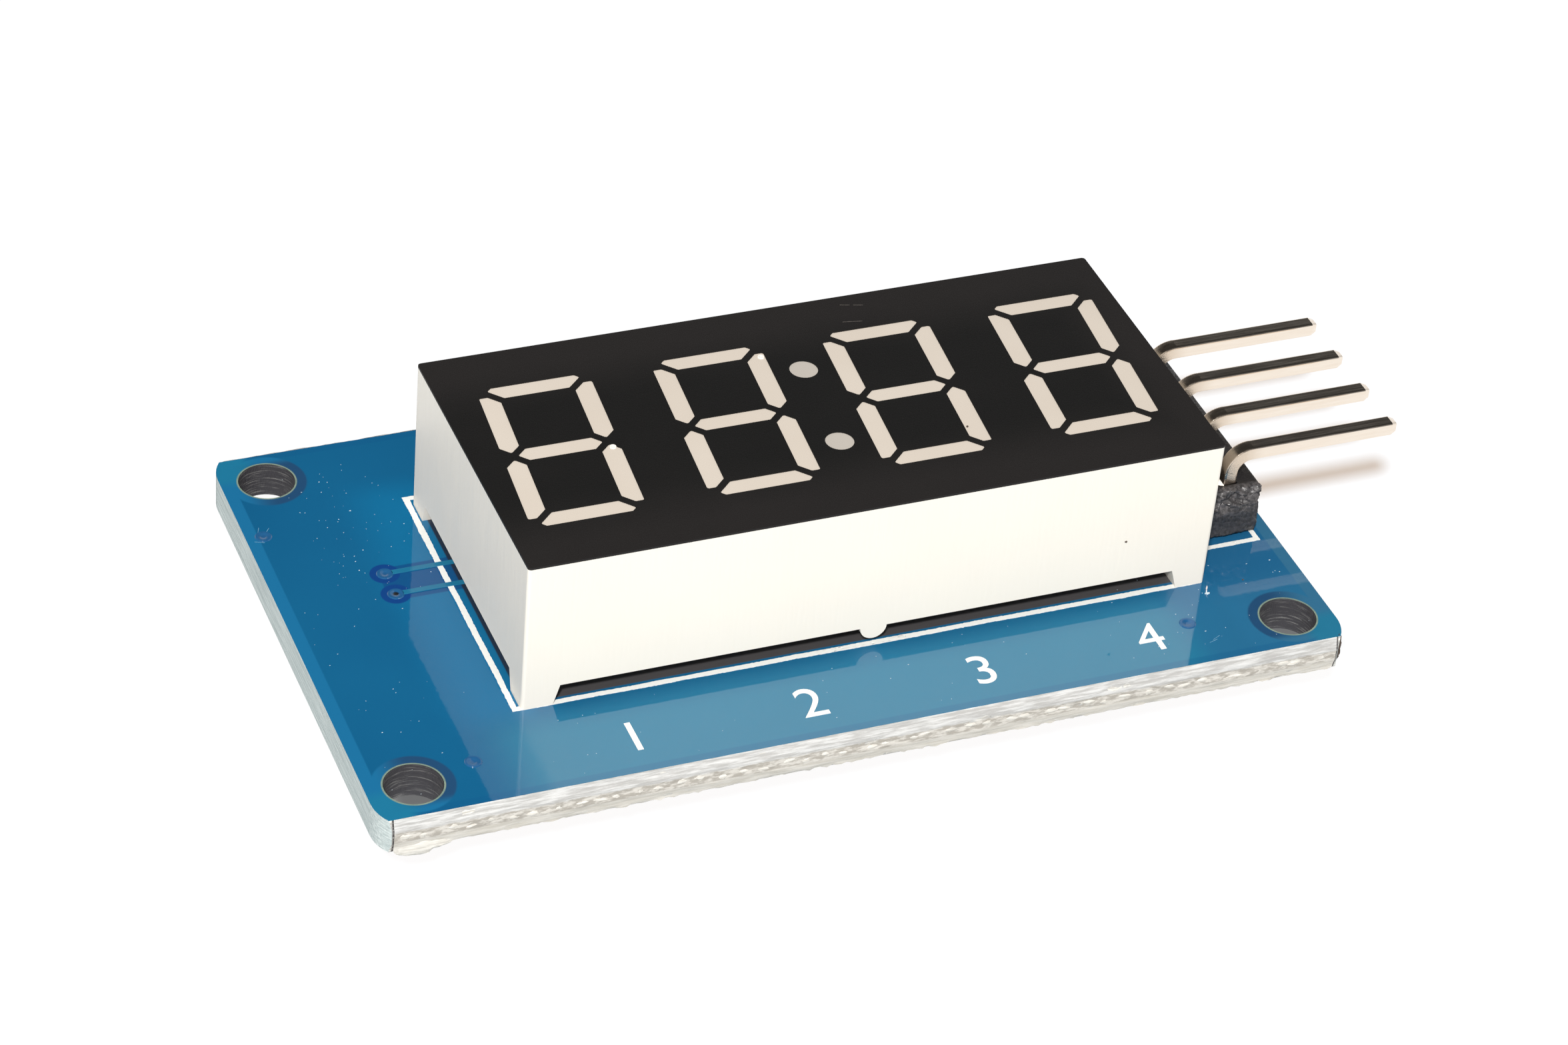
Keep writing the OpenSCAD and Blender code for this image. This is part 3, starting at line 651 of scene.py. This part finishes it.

# %% [markdown]
# ## Copper under the coating
# Copper stands a few hundredths of a millimetre above the glass, and the coating follows it. Two traces leave two
# plated holes and run under the display. Each land starts as a disc that is raised, drawn in and dished, and each
# trace as a narrow plane that is raised and drawn in at its top, so their edges catch the light. In one land the
# coating has not closed over the bore, and the shade inside it is painted as a near-black disc.

# %% Coated copper
coated_copper, tree, shader, place = new_finish("coated_copper")
drift = grain(tree, place, (0.8, 0.8, 0.8), 2)
wire(tree, blend(tree, drift, tint(22, 97, 132), tint(34, 112, 142)), shader, "Base Color")
wire(tree, ramp(tree, drift, 0.3, 0.7, 0.05, 0.1), shader, "Roughness")
relief(tree, shader, grain(tree, place, (4, 4, 4)), 0.006, 0.5)
dark_land, tree, shader, place = new_finish("dark_land")
drift = grain(tree, place, (2, 2, 2), 2)
wire(tree, blend(tree, drift, tint(26, 76, 120), tint(36, 90, 134)), shader, "Base Color")
wire(tree, ramp(tree, drift, 0.3, 0.7, 0.06, 0.12), shader, "Roughness")
relief(tree, shader, grain(tree, place, (6, 6, 6)), 0.006, 0.5)
copper_height, land_r, bore_r = 0.035, 0.36, 0.15


def raised_land(z=board_top, up=1):
    """Plated hole under the coating: a raised ring with a dished middle, at the origin."""
    clear_selection()
    bpy.ops.mesh.primitive_circle_add(vertices=28, radius=land_r, fill_type="NGON", location=(0, 0, z))
    start_edit()
    bpy.ops.mesh.extrude_region_move(TRANSFORM_OT_translate={"value": (0, 0, up * copper_height)})
    bpy.ops.transform.resize(value=(0.9, 0.9, 1))
    bpy.ops.mesh.inset(thickness=0.03)
    bpy.ops.mesh.inset(thickness=land_r * 0.9 - 0.03 - bore_r)
    bpy.ops.mesh.inset(thickness=0.03)
    bpy.ops.transform.translate(value=(0, 0, -up * copper_height * 0.6))
    bpy.ops.mesh.inset(thickness=0.04)
    bpy.ops.transform.translate(value=(0, 0, -up * copper_height * 0.2))
    end_edit(outward=True)
    return bpy.context.object


def raised_trace(x_low, x_high, y, width, z=board_top, up=1):
    clear_selection()
    bpy.ops.mesh.primitive_plane_add(size=1, location=((x_low + x_high) / 2, y, z))
    piece = bpy.context.object
    piece.scale = (x_high - x_low, width, 1)
    start_edit()
    bpy.ops.mesh.extrude_region_move(TRANSFORM_OT_translate={"value": (0, 0, up * copper_height)})
    bpy.ops.mesh.inset(thickness=0.02)
    end_edit(outward=True)
    apply_modifier(piece, "BEVEL", width=0.012, segments=2, limit_method="ANGLE")
    return piece


land = raised_land()
traces = [raised_trace(x + land_r * 0.8, -9.0, y, 0.27) for x, y in traced_lands]
lone_lands = [(-20.25, 6.52), (-16.4, -9.54), (14.75, -9.43)]
lands = [copy_to(land, (x, y, 0)) for x, y in traced_lands + lone_lands]
bpy.data.objects.remove(land)
hand_over(join_all(traces), "coated_traces", coated_copper, 40)
hand_over(join_all(lands), "coated_lands", dark_land, 40)

# %% Open bore
# painted shade: a near-black disc stands in for the dark inside of the open bore
open_bore_shade = grained_finish("open_bore_shade", tint(6, 7, 10), tint(20, 22, 28), 0.2, 0.5, 12, 0.01)
clear_selection()
bpy.ops.mesh.primitive_circle_add(vertices=20, radius=0.13, fill_type="NGON",
                                  location=(*traced_lands[1], board_top + 0.008))
bore = bpy.context.object
start_edit()
bpy.ops.mesh.extrude_region_move(TRANSFORM_OT_translate={"value": (0, 0, 0.012)})
bpy.ops.mesh.inset(thickness=0.03)
bpy.ops.transform.translate(value=(0, 0, -0.01))
end_edit(outward=True)
hand_over(bore, "open_bore_shade", open_bore_shade, 40)

# %% [markdown]
# ## Snapped edges
# The board was broken out of a larger panel along a scored groove. Of the score two slopes are left: the upper one
# grey with fine white streaks, the lower one a plain beige. The web between them tore, and its glass bundles show
# as a row of pale lenses with dark hollows in between. A strip is laid over the edge in three bands, cut fine, and
# roughened by Displace. It is modelled at a fifth of its length and stretched afterwards, which draws the lumps out
# into fibres. The bundles are then set along the web, each one a squashed ball. A flake of laminate hangs on at the
# front left corner.

# %% Torn glass finish
edge_y, cut_y = 12.1, 11.97
strip_half, stretch = 20.42, 5.0
torn_glass, tree, shader, place = new_finish("torn_glass")
streak = grain(tree, place, (0.7, 3.0, 9.0), 6, 0.68)
fleck = grain(tree, place, (2.4, 3.0, 8.0), 5, 0.6)
upper = blend(tree, ramp(tree, streak, 0.38, 0.64), tint(171, 169, 166), tint(210, 209, 207))
web = blend(tree, ramp(tree, fleck, 0.4, 0.62), tint(164, 158, 149), tint(207, 202, 194))
lower = blend(tree, ramp(tree, streak, 0.35, 0.65), tint(197, 191, 180), tint(219, 214, 206))
ragged = calc(tree, "MULTIPLY_ADD", fleck, 0.22, -0.11)
level = calc(tree, "ADD", add(tree, "SeparateXYZ", {0: place}).outputs["Z"], ragged)
colour = blend(tree, ramp(tree, level, 0.94, 1.04), web, upper)
colour = blend(tree, ramp(tree, level, 0.44, 0.54, 1, 0), colour, lower)
wire(tree, colour, shader, "Base Color")
wire(tree, ramp(tree, streak, 0.3, 0.7, 0.6, 0.85), shader, "Roughness")
relief(tree, shader, streak, 0.03, 0.7)

glass_bundle, tree, shader, place = new_finish("glass_bundle")
thread = grain(tree, place, (1.5, 6.0, 14.0), 4)
wire(tree, blend(tree, ramp(tree, thread, 0.35, 0.65), tint(200, 195, 186), tint(222, 218, 210)), shader, "Base Color")
wire(tree, ramp(tree, thread, 0.3, 0.7, 0.5, 0.75), shader, "Roughness")
relief(tree, shader, thread, 0.02, 0.7)

# %% Rough strip
clear_selection()
bpy.ops.mesh.primitive_grid_add(x_subdivisions=200, y_subdivisions=3, size=1, location=(0, -edge_y, board_top / 2),
                                rotation=(math.radians(90), 0, 0))
strip = bpy.context.object
strip.scale = (2 * strip_half / stretch, board_top, 1)
start_edit()
for side, target in ((1, 1.1), (-1, 0.5)):
    third = board_top / 2 + side * board_top / 6
    pick("VERT", lambda v, middle: abs(middle.z - third) < 0.05)
    bpy.ops.transform.translate(value=(0, 0, target - third))
pick("VERT", lambda v, middle: middle.z < 0.01 or middle.z > board_top - 0.01)
bpy.ops.transform.translate(value=(0, edge_y - cut_y, 0))
pick("EDGE", lambda edge, middle: abs((edge.verts[0].co - edge.verts[1].co).normalized().x) < 0.1)
bpy.ops.mesh.subdivide(number_cuts=4)
end_edit()
for size, strength in ((0.35, 0.09), (0.08, 0.06)):
    rough = bpy.data.textures.new("torn", "CLOUDS")
    rough.noise_scale, rough.noise_depth = size, 3
    apply_modifier(strip, "DISPLACE", texture=rough, texture_coords="LOCAL", strength=strength, mid_level=0.35)
strip.scale = (stretch, 1, 1)
start_edit()
pick("VERT", lambda v, middle: middle.z < 0.04)
bpy.ops.transform.vertex_random(offset=0.07, seed=4)
end_edit()
back_strip = copy_to(strip, (0, 0, 0), math.pi)
hand_over(strip, "snapped_edge_front", torn_glass, 50)
hand_over(back_strip, "snapped_edge_back", torn_glass, 50)

# %% Glass bundles
random.seed(11)
clear_selection()
bpy.ops.mesh.primitive_uv_sphere_add(segments=12, ring_count=8, radius=0.5, rotation=(0, math.radians(90), 0))
bundle = bpy.context.object
start_edit()
pick("VERT", lambda v, middle: abs(middle.x) > 0.2)
bpy.ops.transform.resize(value=(1.3, 0.7, 0.7), center_override=(0, 0, 0))
end_edit()
bundles = []
step = 0.88
for index in range(int(2 * strip_half / step)):
    copy = copy_to(bundle, (0, 0, 0))
    copy.scale = (random.uniform(0.4, 0.7), random.uniform(0.1, 0.14), random.uniform(0.18, 0.3))
    copy.rotation_euler.y = random.uniform(-0.16, 0.2)
    copy.location = (-strip_half + (index + 0.5) * step + random.uniform(-0.2, 0.2), -edge_y + 0.012,
                     0.74 + random.uniform(-0.1, 0.1))
    start_edit()
    bpy.ops.transform.vertex_random(offset=0.025, seed=index)
    end_edit()
    bundles.append(copy)
bpy.data.objects.remove(bundle)
front_bundles = join_all(bundles)
back_bundles = copy_to(front_bundles, (0, 0, 0), math.pi)
hand_over(front_bundles, "glass_bundles_front", glass_bundle, 60)
hand_over(back_bundles, "glass_bundles_back", glass_bundle, 60)

# %% Flake at the front left corner
flake_x, flake_y, flake_z = -19.2, -11.99, 0.0
clear_selection()
bpy.ops.mesh.primitive_ico_sphere_add(subdivisions=4, radius=0.5, location=(flake_x, flake_y, flake_z))
flake = bpy.context.object
flake.scale = (2.4, 0.2, 0.8)
start_edit()
pick("VERT", lambda v, middle: middle.z < flake_z and middle.x > flake_x + 0.3)
bpy.ops.transform.resize(value=(1, 1, 0.55), center_override=(flake_x, flake_y, flake_z))
bpy.ops.mesh.select_all(action="SELECT")
bpy.ops.transform.vertex_random(offset=0.02, seed=2)
end_edit()
hand_over(flake, "laminate_flake", glass_bundle, 60)

# %% [markdown]
# ## Header strip
# The plastic strip was snapped off a longer one, so its front end is torn: broken back, lumpy and pitted at the top,
# smoother below, and frayed where it meets the board. The piece starts as a block that is cut near the end; the end
# is drawn back at its top and foot, cut fine and pushed about by Displace, held to that end by vertex groups. The
# slots for the pins are cut last, by Boolean.

# %% Header strip
strip_low, strip_high = (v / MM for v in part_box("header_body"))
strip_size, strip_middle = strip_high - strip_low, (strip_high + strip_low) / 2
torn_depth = 0.45
clear_selection()
bpy.ops.mesh.primitive_cube_add(size=1, location=strip_middle)
header_strip = bpy.context.object
header_strip.scale = strip_size
start_edit()
for cut_place, cut_way in (((0, 0, strip_low.z + 0.25), (0, 0, 1)), ((0, 0, strip_high.z - 0.85), (0, 0, 1)),
                           ((0, strip_low.y + torn_depth, 0), (0, 1, 0))):
    bpy.ops.mesh.select_all(action="SELECT")
    bpy.ops.mesh.bisect(plane_co=cut_place, plane_no=cut_way)
for level, drawn_back in ((strip_high.z, 0.16), (strip_low.z, 0.3)):
    pick("VERT", lambda v, middle: middle.y < strip_low.y + 0.01 and abs(middle.z - level) < 0.01)
    bpy.ops.transform.translate(value=(0, drawn_back, 0))
end_edit()
apply_modifier(header_strip, "BEVEL", width=0.04, segments=2, limit_method="ANGLE", angle_limit=math.radians(60))
bpy.ops.object.mode_set(mode="EDIT")
pick("FACE", lambda face, middle: middle.y < strip_low.y + torn_depth - 0.01)
bpy.ops.mesh.subdivide(number_cuts=27)
end_edit()
torn_end = header_strip.vertex_groups.new(name="torn_end")
upper_end = header_strip.vertex_groups.new(name="upper_end")
for v in header_strip.data.vertices:
    nearness = min(1.0, max(0.0, (strip_low.y + torn_depth - v.co.y) / 0.25))
    torn_end.add([v.index], nearness, "REPLACE")
    upper_end.add([v.index], nearness * min(1.0, max(0.1, (v.co.z - strip_low.z - 1.3) / 0.5)), "REPLACE")
# grain, push, contrast, the group that it is held to and the way of the push
pushes = ((0.5, 0.16, 1.0, "torn_end", "NORMAL"), (0.34, -0.34, 1.8, "upper_end", "Y"),
          (0.3, 0.16, 1.5, "upper_end", "Z"), (0.09, 0.05, 1.2, "torn_end", "NORMAL"))
for size, strength, contrast, group, way in pushes:
    rough = bpy.data.textures.new("torn", "CLOUDS")
    rough.noise_scale, rough.noise_depth, rough.contrast = size, 2, contrast
    apply_modifier(header_strip, "DISPLACE", texture=rough, texture_coords="LOCAL", strength=strength, mid_level=0.6,
                   vertex_group=group, direction=way)
slot_width = 0.7
slots = []
for name in header_pins:
    pin_low, pin_high = (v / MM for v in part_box(name))
    clear_selection()
    bpy.ops.mesh.primitive_cube_add(size=1, location=(strip_middle.x, (pin_low.y + pin_high.y) / 2, strip_middle.z))
    slots.append(bpy.context.object)
    slots[-1].scale = (slot_width, slot_width, strip_size.z + 1)
    settle()
slot_cutter = join_all(slots)
apply_modifier(header_strip, "BOOLEAN", object=slot_cutter, operation="DIFFERENCE", solver="EXACT")
bpy.data.objects.remove(slot_cutter)
hand_over(header_strip, "header_strip", header_plastic, 35)
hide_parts("header_body")

# %% [markdown]
# ## Rounded pin edges
# Drawn wire has no sharp edges. The CAD pins stay as they are; a Weld joins their loose triangles and a narrow
# Bevel rounds the edges, so that each one catches a thin line of light.

# %% Pin edges
for name in header_pins:
    weld = nodes[name].modifiers.new("weld", "WELD")
    weld.merge_threshold = 0.001 * MM
    edge = nodes[name].modifiers.new("edge", "BEVEL")
    edge.width, edge.segments, edge.limit_method = 0.1 * MM, 4, "ANGLE"
    edge.angle_limit = math.radians(30)
    edge.harden_normals = False
print("rounded", len(header_pins), "pins")

# %% [markdown]
# ## Dust
# A used board has fine dust on it: white specks, most of them behind the left wall where a brush does not reach.
# All the specks are one piece. Each is a small ball added in edit mode, squashed and shaken out of round.

# %% Dust
dust_grey = grained_finish("dust_grey", tint(128, 160, 178), tint(226, 232, 233), 0.7, 0.9, 8, 0.01, 3, 0.5)
random.seed(7)
large_share, large_size = 0.08, 1.7
crumb_by_foot = (16.42, -7.84, 0.07)
# x from and to, y from and to, and how many specks lie there
patches = ((-18.5, -14.2, 2.0, 10.5, 70), (-20.5, -14.3, -11.0, 2.0, 30), (-13.5, 12.0, -11.5, -7.4, 34),
           (12.0, 20.4, -11.4, -5.6, 40), (17.0, 20.6, 5.6, 11.0, 14), (-13.0, 16.0, 7.8, 11.5, 22))
specks = []
for x_low, x_high, y_low, y_high, count in patches:
    for _ in range(count):
        specks.append((random.uniform(x_low, x_high), random.uniform(y_low, y_high),
                       random.uniform(0.007, 0.02) * (large_size if random.random() < large_share else 1.0)))
specks.append(crumb_by_foot)
clear_selection()
bpy.ops.mesh.primitive_ico_sphere_add(subdivisions=1, radius=specks[0][2], location=(*specks[0][:2], board_top))
dust = bpy.context.object
start_edit()
for index, (x, y, r) in enumerate(specks):
    bpy.ops.mesh.select_all(action="DESELECT")
    bpy.ops.mesh.primitive_ico_sphere_add(subdivisions=1, radius=r, location=(x, y, board_top + r * 0.3))
    bpy.ops.transform.vertex_random(offset=r * 0.35, seed=index)
    bpy.ops.transform.resize(value=(1.0 + 0.8 * random.random(), 1.0, 0.6), center_override=(x, y, board_top))
end_edit()
hand_over(dust, "dust", dust_grey)

# %% [markdown]
# ## Scratches, bubbles and dirt
# Handling has left a few fine scratches in the coating and on the face, a sliver of plastic on the housing's edge and
# some brown crumbs, and two bubbles burst in the resin while it set. A scratch is a narrow plane, cut into short
# lengths, shaken and given a little height. A bubble is a small ring with a dished middle; its near-white colour is
# partly a painted glint. The sliver is a cone, and each crumb and the dark burr at the front right corner a ball, all
# cut finer and shaken out of shape.

# %% Scratches
scratched = grained_finish("scratched_coating", tint(52, 116, 154), tint(140, 178, 198), 0.4, 0.7, 10, 0.006, 3, 0.5)
clear_selection()
bpy.ops.mesh.primitive_plane_add(size=1, location=(0, 0, board_top))
scratch = bpy.context.object
scratch.scale = (0.42, 0.016, 1)
start_edit()
lengthwise_cuts(0, 8)
bpy.ops.mesh.select_all(action="SELECT")
bpy.ops.transform.vertex_random(offset=0.006, seed=1)
bpy.ops.transform.resize(value=(1, 1, 0), center_override=(0, 0, board_top))
end_edit()
apply_modifier(scratch, "SOLIDIFY", thickness=0.006, offset=1.0)
scratch_places = [(15.52, -10.61, 0.45), (15.3, -10.78, 0.3), (-20.35, 6.95, 1.2), (-20.0, 6.85, 0.9),
                  (-20.5, 6.2, -0.4)]
scratches = [copy_to(scratch, (x, y, 0), turn) for x, y, turn in scratch_places]
hand_over(join_all(scratches), "scratches", scratched)

# %% Scuffs on the face
scuffed = grained_finish("scuffed_ink", tint(62, 58, 56), tint(128, 122, 116), 0.4, 0.7, 10, 0.006, 3, 0.5)
face_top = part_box("display_face")[1].z / MM
scuff_places = [(5.12, 6.44, -0.26), (5.68, 6.29, -0.26), (4.78, 5.26, -0.18), (5.2, 5.18, -0.18)]
scuffs = [copy_to(scratch, (x, y, face_top - board_top), turn) for x, y, turn in scuff_places]
bpy.data.objects.remove(scratch)
hand_over(join_all(scuffs), "face_scuffs", scuffed)

# %% Bubbles in the resin
# partly painted highlight: the bubbles' near-white colour stands in for the glint that they catch
bubble_and_glint_white = grained_finish("bubble_and_glint_white", tint(226, 218, 206), tint(246, 242, 236), 0.08, 0.2, 6, 0.02)
bubble = raised_land(0.0)
bubble.scale = (0.42, 0.42, 0.9)
settle()
bubbles = [copy_to(bubble, (x, y, face_top - 0.03)) for x, y in ((0.32, 3.86), (-7.74, -0.42))]
bpy.data.objects.remove(bubble)
hand_over(join_all(bubbles), "resin_bubbles", bubble_and_glint_white, 40)

# %% Sliver and crumbs
clear_selection()
bpy.ops.mesh.primitive_cone_add(vertices=6, radius1=0.13, radius2=0.02, depth=0.34,
                                location=(16.62, -7.12, 6.8), rotation=(math.radians(75), math.radians(55), 0))
burr = bpy.context.object
start_edit()
bpy.ops.mesh.subdivide(number_cuts=2)
bpy.ops.transform.vertex_random(offset=0.03, seed=9)
end_edit()
hand_over(burr, "moulding_burr", white_plastic)

dirt_brown = grained_finish("dirt_brown", tint(40, 32, 28), tint(92, 78, 68), 0.7, 0.9, 20, 0.01, 3)
crumbs = ((12.6, -7.1, 4.6, 0.05), (6.75, -3.0, 8.73, 0.05), (18.3, -7.4, board_top, 0.04))
dirt = []
for x, y, z, r in crumbs:
    clear_selection()
    bpy.ops.mesh.primitive_ico_sphere_add(subdivisions=2, radius=r, location=(x, y, z))
    dirt.append(bpy.context.object)
    start_edit()
    bpy.ops.transform.vertex_random(offset=r * 0.4, seed=len(dirt))
    end_edit()
hand_over(join_all(dirt), "dirt_specks", dirt_brown)

# a small dark lump at the front right corner of the board
clear_selection()
bpy.ops.mesh.primitive_ico_sphere_add(subdivisions=4, radius=0.5, location=(20.6, -11.86, 0.88))
corner_burr = bpy.context.object
corner_burr.scale = (0.3, 0.2, 1.45)
start_edit()
bpy.ops.transform.vertex_random(offset=0.05, seed=6)
end_edit()
hand_over(corner_burr, "corner_burr", dirt_brown, 60)

# %% [markdown]
# ## Lands and traces underneath
# On the underside every joint stands on a tinned copper land that shows as a thin rim round the solder, and traces
# under the coating join the driver to the display and the header. A land starts as a plane with its corners bevelled
# round; it is raised and drawn in at its edge, and then copied to every joint.

# %% Lands underneath
land_height = 0.03
tinned_land = metal_finish("tinned_land", tint(170, 170, 168), tint(212, 212, 208), 0.26, 0.42, (5, 5, 5), 0.012)


def flat_land(length, width, corner):
    """Tinned land at the origin under the board, with rounded corners."""
    clear_selection()
    bpy.ops.mesh.primitive_plane_add(size=1)
    piece = bpy.context.object
    piece.scale = (length, width, 1)
    start_edit()
    bpy.ops.mesh.bevel(offset=corner, segments=7, affect="VERTICES")
    bpy.ops.mesh.extrude_region_move(TRANSFORM_OT_translate={"value": (0, 0, -land_height * 0.6)})
    bpy.ops.mesh.inset(thickness=0.03)
    bpy.ops.transform.translate(value=(0, 0, -land_height * 0.4))
    end_edit(outward=True)
    return piece


chip_low, chip_high = (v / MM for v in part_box("chip_leads"))
chip_middle = (chip_low + chip_high) / 2
pin_pitch, first_pin_x, pin_row_y, header_x, lead_pitch = 2.54, -4.85, 5.08, 18.9, 1.27
lands = []
round_land, lead_land, end_land = flat_land(1.95, 1.95, 0.96), flat_land(1.9, 0.62, 0.08), flat_land(0.85, 0.95, 0.1)
for column in range(6):
    for row_y in (-pin_row_y, pin_row_y):
        lands.append(copy_to(round_land, (first_pin_x + pin_pitch * column, row_y, 0)))
for row in range(4):
    lands.append(copy_to(round_land, (header_x, (row - 1.5) * pin_pitch, 0)))
for row in range(10):
    for side in (-1, 1):
        lands.append(copy_to(lead_land, (chip_middle.x + side * (chip_high.x - chip_middle.x - 0.4),
                                         (row - 4.5) * lead_pitch, 0)))
for name in [f"capacitor_{n}" for n in range(1, 5)] + ["resistor_1", "resistor_2"]:
    low, high = (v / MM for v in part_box(name))
    middle, size = (low + high) / 2, high - low
    upright = size.y > size.x
    for side in (-1, 1):
        shift = side * (max(size.x, size.y) / 2 - 0.05)
        place = (middle.x, middle.y + shift, 0) if upright else (middle.x + shift, middle.y, 0)
        lands.append(copy_to(end_land, place, math.radians(90) if upright else 0.0))
for pattern in (round_land, lead_land, end_land):
    bpy.data.objects.remove(pattern)
hand_over(join_all(lands), "tinned_lands", tinned_land, 40)

# %% Traces underneath
# x from and to, and y
runs = [(-6.2, 16.4, -0.635), (-6.2, 16.4, 0.635), (-6.2, 12.8, -1.905), (-6.2, 12.8, 1.905), (-6.2, 11.6, -3.175),
        (-6.2, 11.6, 3.175), (-19.6, -18.4, -3.175), (-19.6, -18.4, 0.635), (-19.6, -18.4, 3.175), (15.6, 17.8, -1.27),
        (15.6, 17.8, 1.27)]
under_traces = [raised_trace(x_low, x_high, y, 0.3, 0.0, -1) for x_low, x_high, y in runs]
hand_over(join_all(under_traces), "under_traces", coated_copper, 40)
